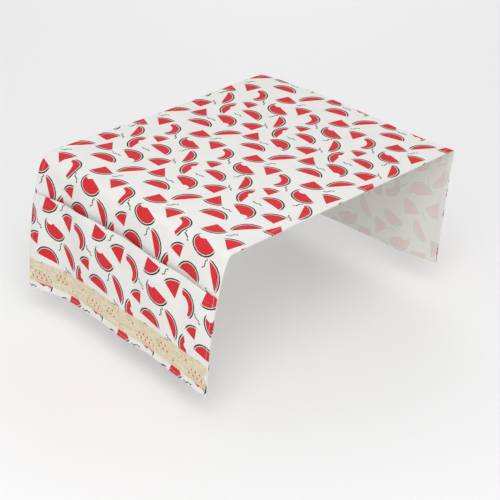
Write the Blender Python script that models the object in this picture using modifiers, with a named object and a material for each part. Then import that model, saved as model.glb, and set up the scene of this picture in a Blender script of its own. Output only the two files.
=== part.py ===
"""A cloth cover that lies flat over something boxy and hangs down both of its sides.

One long strip of printed cloth makes the top panel and the two drops. A pocket panel is sewn
on the outside of each drop, and a crocheted lace band is sewn across each pocket near its hem.
The front and the back are open. Units are metres, +Z is up, +X runs along the strip and +Y runs
from the front edge to the back edge. The origin is the centre of the top panel's underside.
"""

import math
from collections import namedtuple

import bmesh
import bpy
from mathutils import Vector

# Driving sizes of the cloth
CLOTH_WIDTH = 0.353
SPAN = 0.461
DROP = 0.201
CLOTH_THICKNESS = 0.0012
LACE_THICKNESS = 0.0010
SEAM_GAP = 0.0003

# Sewn pieces, measured up or down the drop along the cloth
MOUTH_BELOW_TOP = 0.0500
MOUTH_LOWER_AT_SIDES = 0.0065
LACE_WIDTH = 0.034
LACE_ABOVE_HEM = 0.011

# Slack of the pocket: how far it stands off the drop, how square that bulge is across, how
# uneven it is, and the shares of its height where the slack starts to close and is closed
POCKET_GAPE = 0.0092
GAPE_SQUARENESS = 0.8
GAPE_UNEVENNESS = 0.10
GAPE_PHASE = 0.6
GAPE_CLOSES_FROM = 0.28
GAPE_CLOSED_AT = 0.90

# How far the middle of each sewn layer lies outside the middle of the cover's cloth
POCKET_LIFT = CLOTH_THICKNESS + SEAM_GAP
LACE_LIFT = 1.5 * CLOTH_THICKNESS + LACE_THICKNESS / 2 + 2 * SEAM_GAP

# Distance over which a drop swings out and then hangs straight
SWING_LENGTH = 0.060

# Rows and columns of the sheet: the top panel, one rounded edge, the stretch above the pocket
# mouth, and the pocket's height, counted from the middle of the strip outwards
TOP_ROWS = 9
EDGE_ROWS = 6
YOKE_ROWS = 3
POCKET_ROWS = 14
COLUMNS = 26
LACE_ROWS = 3
LACE_COLUMNS = 2 * COLUMNS

LEFT = -1
RIGHT = 1
SIDE_NAMES = {LEFT: "left", RIGHT: "right"}

# Round of the edge where the cloth turns down: tight over most of the width, wide at the back
EDGE_ROUND = (
    # across, radius
    (0.000, 0.008),
    (0.120, 0.009),
    (0.240, 0.011),
    (0.309, 0.019),
    (0.353, 0.027),
)

# How far each hem stands out from upright, at the foot of its drop
HEM_SWING = (
    # across, left, right
    (0.000, 0.0105, 0.0090),
    (0.070, 0.0075, 0.0050),
    (0.150, 0.0045, 0.0030),
    (0.220, 0.0030, 0.0040),
    (0.290, 0.0020, 0.0035),
    (0.353, 0.0140, 0.0110),
)

# Soft upright folds of the drops: depth at the hem, wavelength across, and phase
FOLDS = {
    LEFT: ((0.0014, 0.152, 0.6), (0.0005, 0.083, 2.1)),
    RIGHT: ((0.0016, 0.168, 2.4), (0.0006, 0.091, 0.3)),
}

# The strip is cut a little off square: how much longer the left drop is at the front edge and
# at the back edge. The right drop is as much shorter.
LONGER_AT_FRONT = 0.0040
LONGER_AT_BACK = -0.0085

# How far each drop's front and back edges drift towards the back on the way down
FRONT_EDGE_DRIFT = 0.0105
BACK_EDGE_DRIFT = 0.0050

# Slight rise of the top panel: height, centre along, centre across, reach along, reach across
TOP_RISES = (
    (0.0055, 0.175, 0.345, 0.110, 0.075),
    (0.0040, 0.235, 0.230, 0.060, 0.090),
    (0.0010, -0.080, 0.120, 0.090, 0.060),
)

# Step for reading the cloth's outward direction from its shape
DIRECTION_STEP = 0.0005

PRINT_GROUND = (0.86, 0.86, 0.85, 1.0)
CLOTH_ROUGHNESS = 0.85
LACE_CREAM = (0.80, 0.70, 0.52, 1.0)
LACE_ROUGHNESS = 0.80

Edge = namedtuple("Edge", "radius start end lean")


def ease(value):
    """Rise smoothly from 0 to 1 as value goes from 0 to 1."""
    clamped = min(max(value, 0.0), 1.0)
    return clamped * clamped * (3.0 - 2.0 * clamped)


def read_table(table, place, column):
    """Read one column of a table at a place, eased from row to row."""
    for lower, upper in zip(table, table[1:]):
        if place <= upper[0]:
            share = ease((place - lower[0]) / (upper[0] - lower[0]))
            return lower[column] + share * (upper[column] - lower[column])
    return table[-1][column]


def hem_swing(across, side):
    """Say how far the hem stands out, with the folds left out."""
    return read_table(HEM_SWING, across, 1 if side == LEFT else 2)


def edge_shape(across, side):
    """Return the round's radius, where it starts and ends, and the lean of the cloth below it."""
    radius = read_table(EDGE_ROUND, across, 1)
    lean = hem_swing(across, side) / SWING_LENGTH
    start = (SPAN + CLOTH_THICKNESS) / 2 - radius
    end = start + radius * (math.pi / 2 - lean)
    return Edge(radius, start, end, lean)


def top_rise(along, across):
    """Say how high the top panel rises above flat at one place."""
    rise = 0.0
    for height, middle_along, middle_across, reach_along, reach_across in TOP_RISES:
        offset_along = (along - middle_along) / reach_along
        offset_across = (across - middle_across) / reach_across
        rise += height * math.exp(-offset_along ** 2 - offset_across ** 2)
    return rise


def fold_depth(below, across, side):
    """Say how far the upright folds push the drop out at one place."""
    growth = ease(below / DROP)
    depth = 0.0
    for amplitude, wavelength, phase in FOLDS[side]:
        depth += amplitude * (1 + math.sin(2 * math.pi * across / wavelength + phase))
    return growth * depth


def drop_distance(below_top, across, side):
    """Flat distance from the strip's middle to a line that far below the top."""
    edge = edge_shape(0.0, LEFT)
    longer = LONGER_AT_FRONT + (LONGER_AT_BACK - LONGER_AT_FRONT) * across / CLOTH_WIDTH
    return edge.end - edge.radius + below_top - side * longer


def mouth_below_top(across):
    """Say how far below the top the pocket's mouth lies: a shallow arch, lower at the sides."""
    arch = math.sin(math.pi * across / CLOTH_WIDTH)
    return MOUTH_BELOW_TOP + MOUTH_LOWER_AT_SIDES * (1 - arch)


def cloth_point(along, across):
    """Place a point of the flat strip, along from its middle and across from its front edge."""
    side = LEFT if along < 0 else RIGHT
    distance = abs(along)
    edge = edge_shape(across, side)
    below = max(distance - edge.end, 0.0)
    settled = 1 - math.exp(-below / SWING_LENGTH)
    if distance <= edge.start:
        out = distance
        down = 0.0
    elif distance <= edge.end:
        turn = (distance - edge.start) / edge.radius
        out = edge.start + edge.radius * math.sin(turn)
        down = edge.radius * (1 - math.cos(turn))
    else:
        swing = edge.lean * SWING_LENGTH * settled
        out = edge.start + edge.radius * math.cos(edge.lean) + swing
        down = edge.radius * (1 - math.sin(edge.lean)) + below - edge.lean * swing / 4
    out += fold_depth(below, across, side)
    drift = FRONT_EDGE_DRIFT + (BACK_EDGE_DRIFT - FRONT_EDGE_DRIFT) * across / CLOTH_WIDTH
    rise = CLOTH_THICKNESS / 2 + top_rise(side * min(distance, SPAN / 2), across)
    return Vector((side * out, across - CLOTH_WIDTH / 2 + drift * settled, rise - down))


def half_stations(across, side):
    """List the flat distances of the rows from the middle out to one hem."""
    edge = edge_shape(across, side)
    mouth = drop_distance(mouth_below_top(across), across, side)
    hem = drop_distance(DROP, across, side)
    stations = []
    for start, end, rows in (
        (0.0, edge.start, TOP_ROWS),
        (edge.start, edge.end, EDGE_ROWS),
        (edge.end, mouth, YOKE_ROWS),
        (mouth, hem, POCKET_ROWS),
    ):
        stations += [start + (end - start) * row / rows for row in range(rows)]
    return stations + [hem]


def strip_rows():
    """Count the rows of faces along the whole strip."""
    return 2 * (TOP_ROWS + EDGE_ROWS + YOKE_ROWS + POCKET_ROWS)


def strip_station(row, across):
    """Flat distance along the strip of one row, below zero on the left."""
    middle_row = strip_rows() // 2
    side = LEFT if row < middle_row else RIGHT
    return side * half_stations(across, side)[abs(row - middle_row)]


def outward(along, across):
    """Unit direction out of the cloth's printed face."""
    step = DIRECTION_STEP
    back = min(across + step, CLOTH_WIDTH)
    front = max(across - step, 0.0)
    run_along = cloth_point(along + step, across) - cloth_point(along - step, across)
    run_across = cloth_point(along, back) - cloth_point(along, front)
    return run_along.cross(run_across).normalized()


def drop_frame(side, row, column):
    """Point and outward direction on a drop, row counted in pocket rows down from the mouth."""
    across = CLOTH_WIDTH * column / COLUMNS
    mouth = mouth_below_top(across)
    below_top = mouth + (DROP - mouth) * row / POCKET_ROWS
    along = side * drop_distance(below_top, across, side)
    return cloth_point(along, across), outward(along, across)


def gape(row, column):
    """Say how far the pocket stands off the drop: sewn at its sides and its foot, slack above."""
    share_across = column / COLUMNS
    share_down = row / POCKET_ROWS
    bulge = math.sin(math.pi * share_across) ** GAPE_SQUARENESS
    lobes = 1 + GAPE_UNEVENNESS * math.sin(3 * math.pi * share_across + GAPE_PHASE)
    closing = ease((share_down - GAPE_CLOSES_FROM) / (GAPE_CLOSED_AT - GAPE_CLOSES_FROM))
    return POCKET_GAPE * bulge * lobes * (1 - closing)


def layer_point(side, row, column, lift):
    """Place a corner of a sewn layer, lifted off the drop and following the pocket's slack."""
    point, direction = drop_frame(side, row, column)
    return point + direction * (lift + gape(row, column))


def straight_between(side, row, column, lift):
    """Place a point straight between a layer's corners, so that layers stay parallel."""
    low_row = min(int(row), POCKET_ROWS - 1)
    low_column = min(int(column), COLUMNS - 1)
    share_row = row - low_row
    share_column = column - low_column
    point = Vector()
    for row_step, row_weight in ((0, 1 - share_row), (1, share_row)):
        for column_step, column_weight in ((0, 1 - share_column), (1, share_column)):
            corner = layer_point(side, low_row + row_step, low_column + column_step, lift)
            point += corner * row_weight * column_weight
    return point


def fabric(name, colour, roughness):
    """Make a plain woven finish."""
    material = bpy.data.materials.new(name)
    material.use_nodes = True
    shader = material.node_tree.nodes["Principled BSDF"]
    shader.inputs["Base Color"].default_value = colour
    shader.inputs["Roughness"].default_value = roughness
    shader.inputs["Metallic"].default_value = 0.0
    return material


def sheet(name, rows, columns, place, thickness, material, collection, parent):
    """Shape a grid with place(row, column), and give it its thickness."""
    mesh = bpy.data.meshes.new(name)
    grid = bmesh.new()
    bmesh.ops.create_grid(grid, x_segments=rows, y_segments=columns, size=0.5)
    for vertex in grid.verts:
        row = round((vertex.co.x + 0.5) * rows)
        column = round((vertex.co.y + 0.5) * columns)
        vertex.co = place(row, column)
    grid.to_mesh(mesh)
    grid.free()
    mesh.materials.append(material)
    mesh.shade_smooth()
    piece = bpy.data.objects.new(name, mesh)
    piece.parent = parent
    collection.objects.link(piece)
    shell = piece.modifiers.new("thickness", "SOLIDIFY")
    shell.thickness = thickness
    shell.offset = 0.0
    shell.use_even_offset = True
    return piece


def add_cover_cloth(material, collection, parent):
    """The one long strip: top panel and both drops."""

    def place(row, column):
        across = CLOTH_WIDTH * column / COLUMNS
        return cloth_point(strip_station(row, across), across)

    sheet("cover_cloth", strip_rows(), COLUMNS, place, CLOTH_THICKNESS, material, collection, parent)


def add_pocket(side, material, collection, parent):
    """A pocket panel on the outside of one drop, open at its top edge."""

    def place(row, column):
        row_down = row if side == RIGHT else POCKET_ROWS - row
        return layer_point(side, row_down, column, POCKET_LIFT)

    name = "pocket_" + SIDE_NAMES[side]
    sheet(name, POCKET_ROWS, COLUMNS, place, CLOTH_THICKNESS, material, collection, parent)


def add_lace_band(side, material, collection, parent):
    """A lace band across one pocket, a little above its hem."""

    def place(row, column):
        share_up = 1 - row / LACE_ROWS if side == RIGHT else row / LACE_ROWS
        above_hem = LACE_ABOVE_HEM + LACE_WIDTH * share_up
        mouth = mouth_below_top(CLOTH_WIDTH * column / LACE_COLUMNS)
        row_down = POCKET_ROWS * (1 - above_hem / (DROP - mouth))
        return straight_between(side, row_down, column * COLUMNS / LACE_COLUMNS, LACE_LIFT)

    name = "lace_" + SIDE_NAMES[side]
    sheet(name, LACE_ROWS, LACE_COLUMNS, place, LACE_THICKNESS, material, collection, parent)


def clear_scene():
    """Start from an empty scene."""
    for scene_object in list(bpy.data.objects):
        bpy.data.objects.remove(scene_object)


def main():
    """Build the cover."""
    clear_scene()
    collection = bpy.data.collections.new("microwave_cover")
    bpy.context.scene.collection.children.link(collection)
    cover = bpy.data.objects.new("microwave_cover", None)
    collection.objects.link(cover)

    cloth = fabric("printed_cloth", PRINT_GROUND, CLOTH_ROUGHNESS)
    lace = fabric("cream_lace", LACE_CREAM, LACE_ROUGHNESS)
    add_cover_cloth(cloth, collection, cover)
    for side in (LEFT, RIGHT):
        add_pocket(side, cloth, collection, cover)
        add_lace_band(side, lace, collection, cover)


main()
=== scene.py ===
# %% [markdown]
# # A printed cloth cover
#
# The real thing is one long strip of cotton and linen cloth. It lies flat on top and hangs
# down both sides, with a pocket sewn on the outside of each drop and a crocheted lace band across
# each pocket near its hem. The front and the back are open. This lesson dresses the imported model:
# it rebuilds each cloth as a thin sheet on the same folds, prints it, hems and stitches it, and
# crochets the lace from thread. Units are metres, +Z is up, +X runs along the strip and +Y runs
# from the front edge to the back edge.

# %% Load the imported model
import math
from collections import namedtuple

import bmesh
import bpy
from mathutils import Matrix, Vector, noise


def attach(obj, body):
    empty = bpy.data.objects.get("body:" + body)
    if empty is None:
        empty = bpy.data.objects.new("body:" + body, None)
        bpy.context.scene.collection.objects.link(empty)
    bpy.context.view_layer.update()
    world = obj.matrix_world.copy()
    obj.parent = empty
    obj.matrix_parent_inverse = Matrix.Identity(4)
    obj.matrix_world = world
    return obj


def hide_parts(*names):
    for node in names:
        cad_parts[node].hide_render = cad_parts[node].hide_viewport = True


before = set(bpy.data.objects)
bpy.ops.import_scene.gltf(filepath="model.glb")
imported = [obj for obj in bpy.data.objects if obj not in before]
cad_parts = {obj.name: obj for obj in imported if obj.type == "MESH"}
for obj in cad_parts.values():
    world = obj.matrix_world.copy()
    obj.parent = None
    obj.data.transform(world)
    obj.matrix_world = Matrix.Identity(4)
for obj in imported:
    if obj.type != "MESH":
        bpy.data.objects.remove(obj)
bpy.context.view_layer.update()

# %% [markdown]
# ## From built faces to an object
#
# Every piece below is built as a bmesh, a mesh that can still be edited. It then has to become
# mesh data and enter the scene as an object. The operators behind the menus can do that too, but
# they depend on what is selected. These two functions say plainly what they work on.

# %% Mesh data and objects
def mesh_from(built, name):
    """Turn built faces into mesh data."""
    data = bpy.data.meshes.new(name)
    built.to_mesh(data)
    built.free()
    return data


def add_object(name, data):
    """Put data into the scene as an object."""
    made = bpy.data.objects.new(name, data)
    bpy.context.scene.collection.objects.link(made)
    return made


# %% [markdown]
# ## The camera
#
# The picture looks down on the cover from its front left, from about two steps away, with the
# camera held a little askew. A camera could be aimed with a Track To constraint. Here its axes are
# worked out from three angles, because the slight roll is then one more named value.

# %% Camera at the picture's angle
PICTURE_SIDE_PIXELS = 500
FOCAL_PIXELS = 1254.5
SENSOR_MILLIMETRES = 36.0
CAMERA_AZIMUTH = math.radians(-48.86)
CAMERA_ELEVATION = math.radians(29.71)
CAMERA_ROLL = math.radians(4.20)
CAMERA_DISTANCE = 1.799
CAMERA_AIM = Vector((0.0006, -0.0072, -0.1519))


def add_camera():
    """Stand the camera off its aim, and turn its axes by the roll."""
    away = Vector((
        math.sin(CAMERA_AZIMUTH) * math.cos(CAMERA_ELEVATION),
        -math.cos(CAMERA_AZIMUTH) * math.cos(CAMERA_ELEVATION),
        math.sin(CAMERA_ELEVATION),
    ))
    level_right = (-away).cross(Vector((0, 0, 1))).normalized()
    level_up = level_right.cross(-away)
    right = math.cos(CAMERA_ROLL) * level_right + math.sin(CAMERA_ROLL) * level_up
    up = math.cos(CAMERA_ROLL) * level_up - math.sin(CAMERA_ROLL) * level_right
    camera = add_object("picture_camera", bpy.data.cameras.new("picture_camera"))
    camera.data.sensor_width = SENSOR_MILLIMETRES
    camera.data.lens = FOCAL_PIXELS / PICTURE_SIDE_PIXELS * SENSOR_MILLIMETRES
    turn = Matrix((right, up, away)).transposed()
    camera.matrix_world = Matrix.Translation(CAMERA_AIM + away * CAMERA_DISTANCE) @ turn.to_4x4()
    bpy.context.scene.camera = camera
    return camera


camera = add_camera()
print("camera at", tuple(camera.matrix_world.translation), "lens", round(camera.data.lens, 1), "mm")

# %% [markdown]
# ## The drape
#
# Cloth can't stretch much, so each point of the hanging cover is a point of the flat strip, laid
# along it and across it. The top lies flat, the cloth turns down over a rounded edge, swings
# a little outward and then hangs straight, with soft upright folds that grow towards the hem. A
# cloth simulation could drape it too. A formula was chosen, because it keeps the same outline as
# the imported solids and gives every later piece, such as the pocket and the lace, its place.

# %% Driving sizes of the drape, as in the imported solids
CLOTH_WIDTH = 0.353
SPAN = 0.461
DROP = 0.201
SOLID_THICKNESS = 0.0012
SOLID_POCKET_LIFT = 0.0015
SWING_LENGTH = 0.060
LEFT = -1
RIGHT = 1
SIDE_NAMES = {LEFT: "left", RIGHT: "right"}

EDGE_ROUND = (
    # across, radius
    (0.000, 0.008),
    (0.120, 0.009),
    (0.240, 0.011),
    (0.309, 0.019),
    (0.353, 0.027),
)
HEM_SWING = (
    # across, left, right
    (0.000, 0.0105, 0.0090),
    (0.070, 0.0075, 0.0050),
    (0.150, 0.0045, 0.0030),
    (0.220, 0.0030, 0.0040),
    (0.290, 0.0020, 0.0035),
    (0.353, 0.0140, 0.0110),
)
FOLDS = {
    # depth at the hem, wavelength across, phase
    LEFT: ((0.0014, 0.152, 0.6), (0.0005, 0.083, 2.1)),
    RIGHT: ((0.0016, 0.168, 2.4), (0.0006, 0.091, 0.3)),
}
TOP_RISES = (
    # height, centre along, centre across, reach along, reach across
    (0.0055, 0.175, 0.345, 0.110, 0.075),
    (0.0040, 0.235, 0.230, 0.060, 0.090),
    (0.0010, -0.080, 0.120, 0.090, 0.060),
)
LONGER_AT_FRONT = 0.0040
LONGER_AT_BACK = -0.0085
FRONT_EDGE_DRIFT = 0.0105
BACK_EDGE_DRIFT = 0.0050
print("the cloth is", CLOTH_WIDTH, "wide, spans", SPAN, "and hangs", DROP, "down each side")

# %% Where a point of the flat strip hangs
Edge = namedtuple("Edge", "radius start end lean")


def ease(value):
    """Rise smoothly from 0 to 1 as value goes from 0 to 1."""
    clamped = min(max(value, 0.0), 1.0)
    return clamped * clamped * (3.0 - 2.0 * clamped)


def read_table(table, place, column):
    """Read one column of a table at a place, eased from row to row."""
    for lower, upper in zip(table, table[1:]):
        if place <= upper[0]:
            share = ease((place - lower[0]) / (upper[0] - lower[0]))
            return lower[column] + share * (upper[column] - lower[column])
    return table[-1][column]


def edge_shape(across, side):
    """Return the round's radius, where it starts and ends, and the lean of the cloth below it."""
    radius = read_table(EDGE_ROUND, across, 1)
    lean = read_table(HEM_SWING, across, 1 if side == LEFT else 2) / SWING_LENGTH
    start = (SPAN + SOLID_THICKNESS) / 2 - radius
    return Edge(radius, start, start + radius * (math.pi / 2 - lean), lean)


def top_rise(along, across):
    """Say how high the top panel rises above flat at one place."""
    rise = 0.0
    for height, middle_along, middle_across, reach_along, reach_across in TOP_RISES:
        offset_along = (along - middle_along) / reach_along
        offset_across = (across - middle_across) / reach_across
        rise += height * math.exp(-offset_along ** 2 - offset_across ** 2)
    return rise


def fold_depth(below, across, side):
    """Say how far the upright folds push the drop out at one place."""
    depth = 0.0
    for amplitude, wavelength, phase in FOLDS[side]:
        depth += amplitude * (1 + math.sin(2 * math.pi * across / wavelength + phase))
    return ease(below / DROP) * depth


def drop_distance(below_top, across, side):
    """Flat distance from the strip's middle to a line that far below the top."""
    edge = edge_shape(0.0, LEFT)
    longer = LONGER_AT_FRONT + (LONGER_AT_BACK - LONGER_AT_FRONT) * across / CLOTH_WIDTH
    return edge.end - edge.radius + below_top - side * longer


def cloth_point(along, across):
    """Place a point of the flat strip, along from its middle and across from its front edge."""
    side = LEFT if along < 0 else RIGHT
    distance = abs(along)
    edge = edge_shape(across, side)
    below = max(distance - edge.end, 0.0)
    settled = 1 - math.exp(-below / SWING_LENGTH)
    if distance <= edge.start:
        out = distance
        down = 0.0
    elif distance <= edge.end:
        turn = (distance - edge.start) / edge.radius
        out = edge.start + edge.radius * math.sin(turn)
        down = edge.radius * (1 - math.cos(turn))
    else:
        swing = edge.lean * SWING_LENGTH * settled
        out = edge.start + edge.radius * math.cos(edge.lean) + swing
        down = edge.radius * (1 - math.sin(edge.lean)) + below - edge.lean * swing / 4
    out += fold_depth(below, across, side)
    drift = FRONT_EDGE_DRIFT + (BACK_EDGE_DRIFT - FRONT_EDGE_DRIFT) * across / CLOTH_WIDTH
    rise = SOLID_THICKNESS / 2 + top_rise(side * min(distance, SPAN / 2), across)
    return Vector((side * out, across - CLOTH_WIDTH / 2 + drift * settled, rise - down))


DIRECTION_STEP = 0.0005


def outward(along, across):
    """Unit direction out of the cloth's printed face."""
    back = min(across + DIRECTION_STEP, CLOTH_WIDTH)
    front = max(across - DIRECTION_STEP, 0.0)
    run_along = cloth_point(along + DIRECTION_STEP, across) - cloth_point(along - DIRECTION_STEP, across)
    run_across = cloth_point(along, back) - cloth_point(along, front)
    return run_along.cross(run_across).normalized()


hem_lengths = [drop_distance(DROP, across, side) for side in (LEFT, RIGHT) for across in (0, CLOTH_WIDTH)]

# %% [markdown]
# ## The small unevenness of real cloth
#
# Woven cloth is never a perfect surface. It keeps shallow swells where it was folded and pulled, and
# its hems are two layers thick, with a faint trough along the stitches. Sculpting could make these.
# A short table of soft ridges and troughs was chosen, with smooth noise under it, because each crease
# then has a place and a size that can be read and changed.

# %% Soft ridges, troughs and hems
CREASES = (
    # starts along, across, ends along, across, half width, height
    (-0.250, 0.256, -0.335, 0.246, 0.019, 0.0023),
    (-0.252, 0.300, -0.300, 0.289, 0.013, -0.0017),
    (-0.262, 0.122, -0.350, 0.112, 0.021, 0.0021),
    (-0.258, 0.172, -0.330, 0.166, 0.015, -0.0015),
    (-0.268, 0.064, -0.345, 0.052, 0.014, -0.0016),
    (-0.238, 0.016, -0.330, 0.026, 0.013, 0.0013),
    (0.262, 0.090, 0.345, 0.104, 0.020, 0.0014),
    (0.258, 0.180, 0.340, 0.171, 0.016, -0.0012),
    (0.250, 0.262, 0.330, 0.271, 0.018, 0.0013),
    (-0.190, 0.030, -0.030, 0.058, 0.012, 0.0007),
    (0.040, 0.040, 0.185, 0.022, 0.011, 0.0006),
    (-0.150, 0.205, 0.010, 0.236, 0.014, 0.0006),
    (0.060, 0.150, 0.200, 0.172, 0.015, 0.0007),
    (-0.205, 0.300, -0.060, 0.318, 0.013, 0.0007),
)
SWELLS = (
    # size of one swell, height, place in the noise
    (0.060, 0.00055, 3.1),
    (0.021, 0.00022, 7.7),
    (0.0075, 0.00006, 12.3),
)
CLOTH_THICKNESS = 0.0007
HEM_THICKNESS = 0.0014
HEM_WIDTH = 0.0080
HEM_SEAM = 0.0064
SEAM_WIDTH = 0.0008
SEAM_DEPTH = 0.00024
HEM_EASE = 0.0012
CREASE_RUN_ON = 0.35
CREASE_FADE = 0.6


def crease_height(along, across):
    """Add up the soft ridges and troughs at one place of the flat strip."""
    height = 0.0
    for start_along, start_across, end_along, end_across, half_width, rise in CREASES:
        run = Vector((end_along - start_along, end_across - start_across))
        here = Vector((along - start_along, across - start_across))
        share = here.dot(run) / run.length_squared
        if not -CREASE_RUN_ON < share < 1 + CREASE_RUN_ON:
            continue
        off = (here - run * share).length / half_width
        starts = ease((share + CREASE_RUN_ON) / CREASE_FADE)
        ends = ease((1 + CREASE_RUN_ON - share) / CREASE_FADE)
        height += rise * starts * ends * math.exp(-off * off)
    return height


def swell_height(along, across):
    """Smooth random unevenness, the same on every run."""
    height = 0.0
    for size, rise, layer in SWELLS:
        height += rise * noise.noise(Vector((along / size, across / size, layer)))
    return height


def hem_share(from_edge):
    """1 on a hem and 0 past it, by the flat distance from the cloth's edge."""
    return 1 - ease((from_edge - HEM_WIDTH) / HEM_EASE)


def seam_trough(from_seam):
    """The dent that a row of stitches pulls into cloth."""
    return -SEAM_DEPTH * math.exp(-(from_seam / SEAM_WIDTH) ** 2)


def edge_distance(along, across):
    """Flat distance to the nearest edge of the strip."""
    side = LEFT if along < 0 else RIGHT
    from_hem = drop_distance(DROP, across, side) - abs(along)
    return min(across, CLOTH_WIDTH - across, max(from_hem, 0.0))


def strip_surface(along, across, lift=0.0):
    """Place a point on the cover's cloth, lifted off its middle."""
    from_edge = edge_distance(along, across)
    height = crease_height(along, across) + swell_height(along, across)
    height += (HEM_THICKNESS - CLOTH_THICKNESS) / 2 * hem_share(from_edge)
    height += seam_trough(from_edge - HEM_SEAM)
    return cloth_point(along, across) + outward(along, across) * (height + lift)


sample_heights = [crease_height(-0.30, 0.01 * step) for step in range(36)]
print("creases on the left drop from", round(min(sample_heights) * 1000, 2),
      "to", round(max(sample_heights) * 1000, 2), "mm")

# %% [markdown]
# ## A short way to write node trees
#
# Every finish here is a node tree. Trees can be drawn by hand in the Shader Editor. In a script
# they read best as sums, so one small class adds a node, joins what feeds it, and returns what
# comes out. Colours are written as a screen shows them, from 0 to 255, and turned into the linear
# values that a shader needs.

# %% Wiring for the finishes
FIRST_MIX_COLOUR = 6
SECOND_MIX_COLOUR = 7
MIXED_COLOUR = 2


class Wiring:
    """Adds nodes to one tree and joins them."""

    def __init__(self, tree):
        self.tree = tree

    def plug(self, socket, value):
        """Join a socket, or set its value."""
        if isinstance(value, bpy.types.NodeSocket):
            self.tree.links.new(value, socket)
        else:
            socket.default_value = value

    def node(self, kind, inputs=(), **settings):
        """Add a node of one kind, with its settings and its named inputs."""
        made = self.tree.nodes.new(kind)
        for name, value in settings.items():
            setattr(made, name, value)
        for name, value in dict(inputs).items():
            self.plug(made.inputs[name], value)
        return made

    def math(self, operation, *values):
        """Work out one number from others."""
        made = self.node("ShaderNodeMath", operation=operation)
        for socket, value in zip(made.inputs, values):
            self.plug(socket, value)
        return made.outputs[0]

    def vector(self, operation, *values):
        """Work out a vector, or the one number that a dot product or a length gives."""
        made = self.node("ShaderNodeVectorMath", operation=operation)
        for socket, value in zip(made.inputs, values):
            self.plug(socket, value)
        return made.outputs["Value" if operation in ("DOT_PRODUCT", "LENGTH") else "Vector"]

    def ramp(self, value, start, end, low=0.0, high=1.0):
        """Go smoothly from low to high as a value goes from start to end."""
        made = self.node("ShaderNodeMapRange", interpolation_type="SMOOTHSTEP")
        for socket, number in zip(made.inputs, (value, start, end, low, high)):
            self.plug(socket, number)
        return made.outputs["Result"]

    def mix(self, share, first, second):
        """Blend two colours."""
        made = self.node("ShaderNodeMix", data_type="RGBA")
        self.plug(made.inputs["Factor"], share)
        self.plug(made.inputs[FIRST_MIX_COLOUR], first)
        self.plug(made.inputs[SECOND_MIX_COLOUR], second)
        return made.outputs[MIXED_COLOUR]

    def noise(self, place, scale, detail=2.0, output="Fac"):
        """Smooth random unevenness at a place."""
        inputs = {"Vector": place, "Scale": scale, "Detail": detail}
        return self.node("ShaderNodeTexNoise", inputs).outputs[output]

    def scaled(self, place, along_x, along_y):
        """Stretch a place by a factor each way."""
        return self.vector("MULTIPLY", place, (along_x, along_y, 1.0))

    def turned(self, place, angle):
        """Turn a place in the plane of the cloth."""
        return self.node("ShaderNodeVectorRotate", {"Vector": place, "Angle": angle},
                         rotation_type="Z_AXIS").outputs["Vector"]

    def split(self, place):
        """Take a place apart into its X, Y and Z."""
        return self.node("ShaderNodeSeparateXYZ", {"Vector": place}).outputs


def screen_colour(red, green, blue):
    """Turn a colour as a screen shows it, 0 to 255, into a shader's linear colour."""
    def linear(value):
        share = value / 255
        return share / 12.92 if share <= 0.04045 else ((share + 0.055) / 1.055) ** 2.4
    return (linear(red), linear(green), linear(blue), 1.0)


def new_group(name, inputs, outputs):
    """Start a node group with named sockets, and return it with its wiring and its inputs."""
    group = bpy.data.node_groups.new(name, "ShaderNodeTree")
    for socket_name, kind in inputs:
        group.interface.new_socket(socket_name, in_out="INPUT", socket_type=kind)
    for socket_name in outputs:
        group.interface.new_socket(socket_name, in_out="OUTPUT", socket_type="NodeSocketFloat")
    wiring = Wiring(group)
    return group, wiring, wiring.node("NodeGroupInput").outputs


def new_finish(name, roughness):
    """Start a material, and return it with its wiring and its Principled shader."""
    material = bpy.data.materials.new(name)
    material.use_nodes = True
    shader = material.node_tree.nodes["Principled BSDF"]
    shader.inputs["Roughness"].default_value = roughness
    shader.inputs["Metallic"].default_value = 0.0
    return material, Wiring(material.node_tree), shader


print("a mid grey on screen is", round(screen_colour(128, 128, 128)[0], 3), "to a shader")

# %% [markdown]
# ## The weave
#
# The cloth is a plain weave: each thread goes over one and under the next, about sixteen to the
# centimetre, with thicker and thinner stretches where the linen was spun unevenly. Real threads
# would need millions of faces, so the weave is a height made from two waves that take turns, read
# from the cloth's own flat coordinates in metres. It follows every fold.

# %% Plain weave as a node group
THREAD_PITCH = 0.00062
SLUB_SHARE = 0.30
SLUB_STRETCH = 0.05


def make_weave_group():
    """Height of a plain weave, and how deep a place lies between threads."""
    group, wire, given = new_group("plain_weave", [("Flat", "NodeSocketVector")], ["Height"])
    flat = given["Flat"]
    threads = wire.vector("SCALE", flat)
    threads.node.inputs["Scale"].default_value = 1 / THREAD_PITCH
    split = wire.split(threads)
    heights = []
    for own, other, stretch in (("X", "Y", (1.0, SLUB_STRETCH)), ("Y", "X", (SLUB_STRETCH, 1.0))):
        across_thread = wire.math("COSINE", wire.math("MULTIPLY", split[own], 2 * math.pi))
        rounded = wire.math("MULTIPLY_ADD", across_thread, -0.5, 0.5)
        parity = wire.math("MULTIPLY", wire.math("FLOOR", split[own]), math.pi)
        shift = parity if own == "X" else wire.math("ADD", parity, math.pi)
        run = wire.math("COSINE", wire.math("MULTIPLY_ADD", split[other], math.pi, shift))
        over = wire.math("MULTIPLY_ADD", run, 0.5, 0.5)
        slub = wire.noise(wire.scaled(flat, *[share / THREAD_PITCH for share in stretch]), 1.0, 1.0)
        body = wire.math("MULTIPLY_ADD", slub, 2 * SLUB_SHARE, 1 - SLUB_SHARE)
        heights.append(wire.math("MULTIPLY", wire.math("MULTIPLY", rounded, over), body))
    height = wire.math("MAXIMUM", *heights)
    wire.node("NodeGroupOutput", {"Height": height})
    return group


WEAVE = make_weave_group()
print("weave group has", len(WEAVE.nodes), "nodes at a pitch of", THREAD_PITCH * 1000, "mm")

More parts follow.
